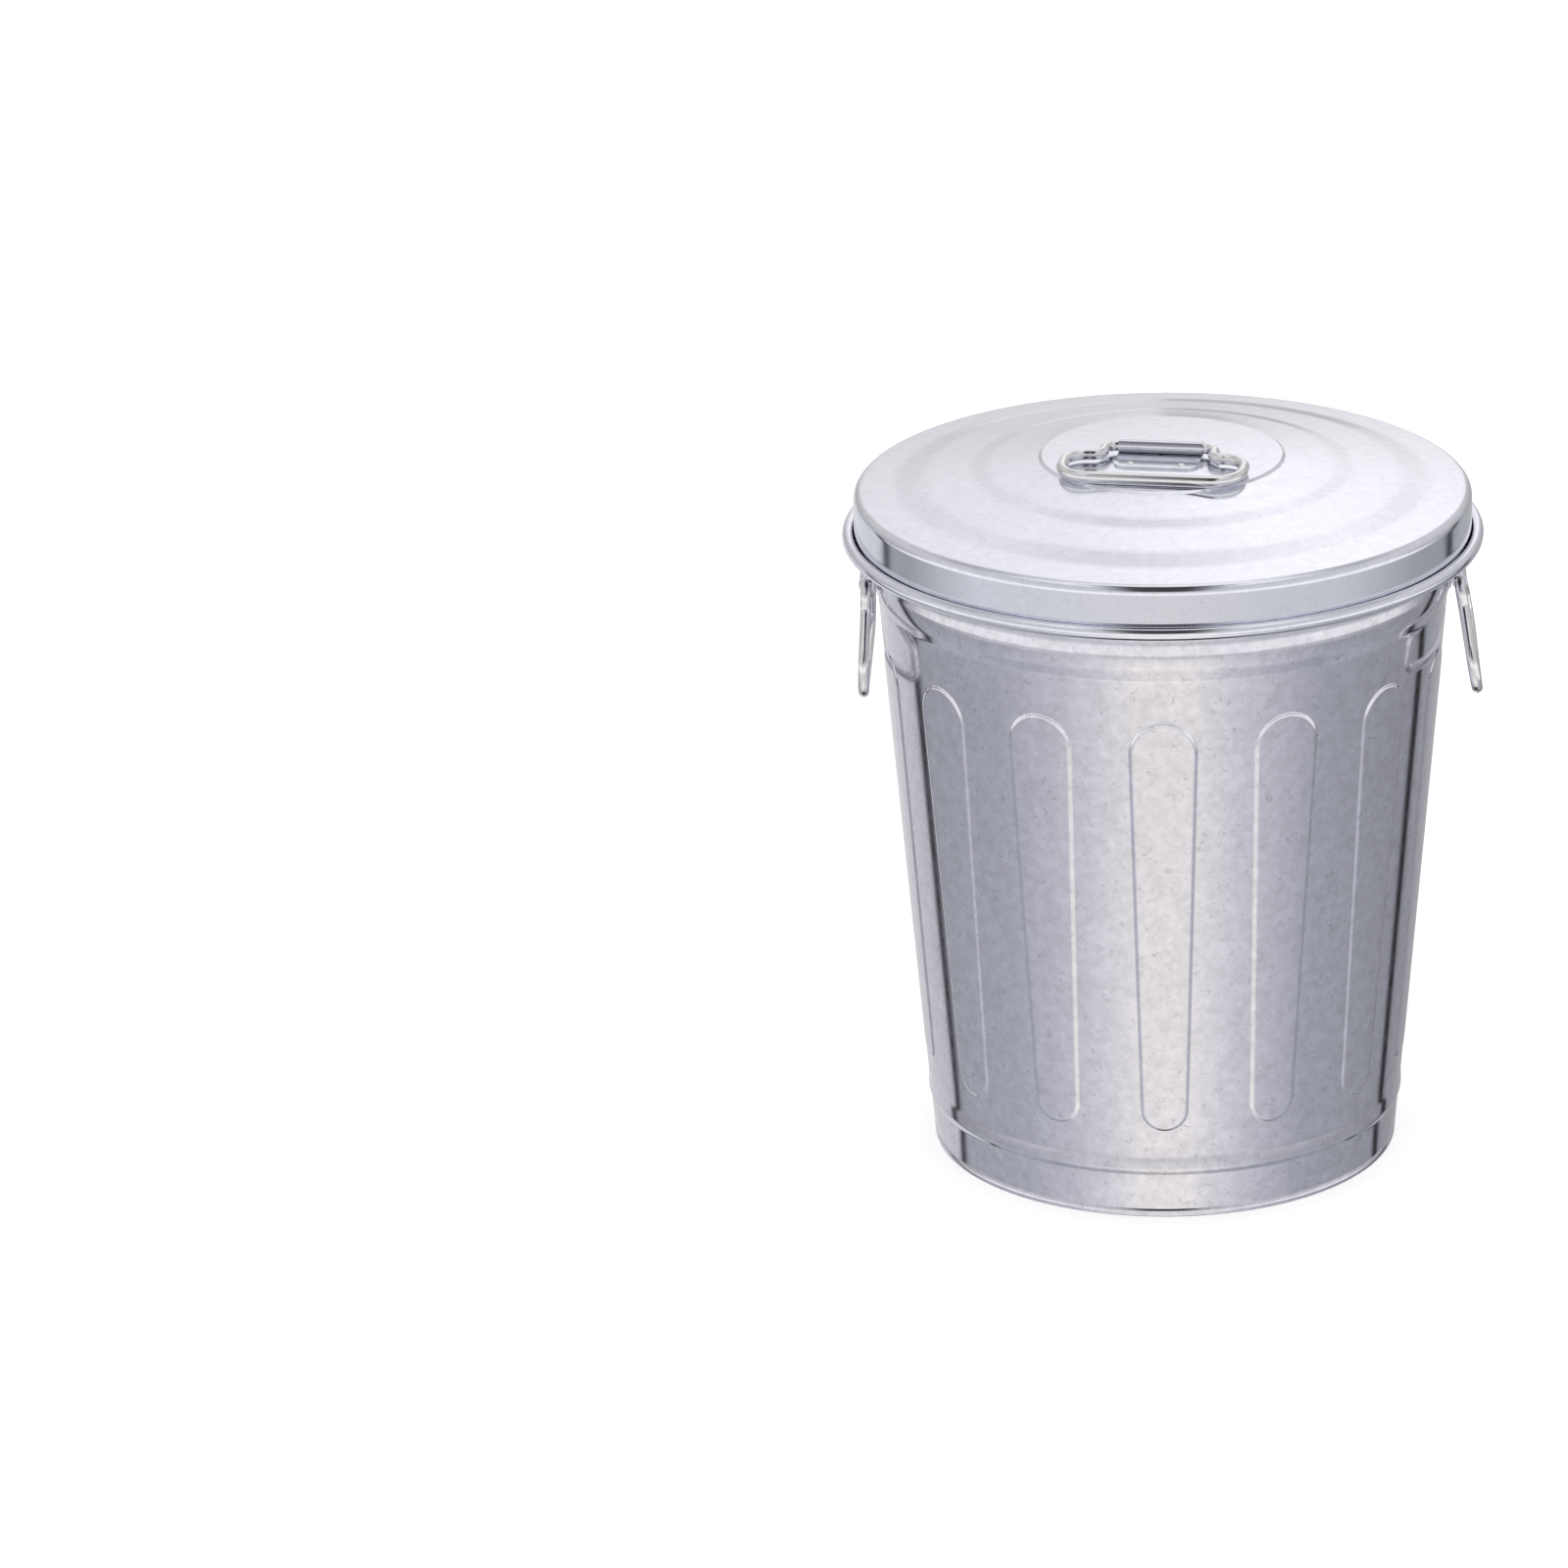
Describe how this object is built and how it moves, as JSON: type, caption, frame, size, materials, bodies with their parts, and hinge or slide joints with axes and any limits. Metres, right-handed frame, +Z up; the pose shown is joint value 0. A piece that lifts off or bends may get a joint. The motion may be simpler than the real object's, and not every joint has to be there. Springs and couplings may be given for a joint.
{
  "type": "lidded trash can",
  "caption": "Tapered sheet-steel can with upright pressed flutes, wire drop bails on both sides and a loose stepped lid with a folding wire bail.",
  "frame": {"origin": "centre of the base, on the surface that the can stands on", "axes": "+Z up along the can's axis, front towards -Y, the two side bails at +X and -X"},
  "size_m": [0.35, 0.35, 0.4056],
  "materials": {
    "galvanized_sheet": "hot-dip galvanized, satin with fine mottling",
    "galvanized_wire": "galvanized wire, bright satin"
  },
  "bodies": {
    "can": {"body_shell": "galvanized_sheet", "body_bottom": "galvanized_sheet", "rim_wire": "galvanized_wire", "right_clip": "galvanized_sheet", "left_clip": "galvanized_sheet", "body_rivets": "galvanized_wire"},
    "lid": {"lid_shell": "galvanized_sheet", "lid_clip": "galvanized_sheet", "lid_rivets": "galvanized_wire"},
    "lid_bail": {"lid_bail": "galvanized_wire"},
    "right_bail": {"right_bail": "galvanized_wire"},
    "left_bail": {"left_bail": "galvanized_wire"}
  },
  "joints": [
    {"name": "lid_lift", "type": "slide", "parent": "can", "child": "lid", "axis": [0, 0, 1], "range_m": [0, 0.15]},
    {"name": "lid_bail_swing", "type": "hinge", "parent": "lid", "child": "lid_bail", "pos_m": [-0.00033, -0.00238, 0.40128], "axis": [-0.9903, 0.1392, 0], "range_deg": [0, 180]},
    {"name": "right_bail_swing", "type": "hinge", "parent": "can", "child": "right_bail", "pos_m": [0.16131, 0, 0.33014], "axis": [0, -1, 0], "range_deg": [-16, 110]},
    {"name": "left_bail_swing", "type": "hinge", "parent": "can", "child": "left_bail", "pos_m": [-0.16131, 0, 0.33014], "axis": [0, 1, 0], "range_deg": [-7.5, 118.5]}
  ]
}
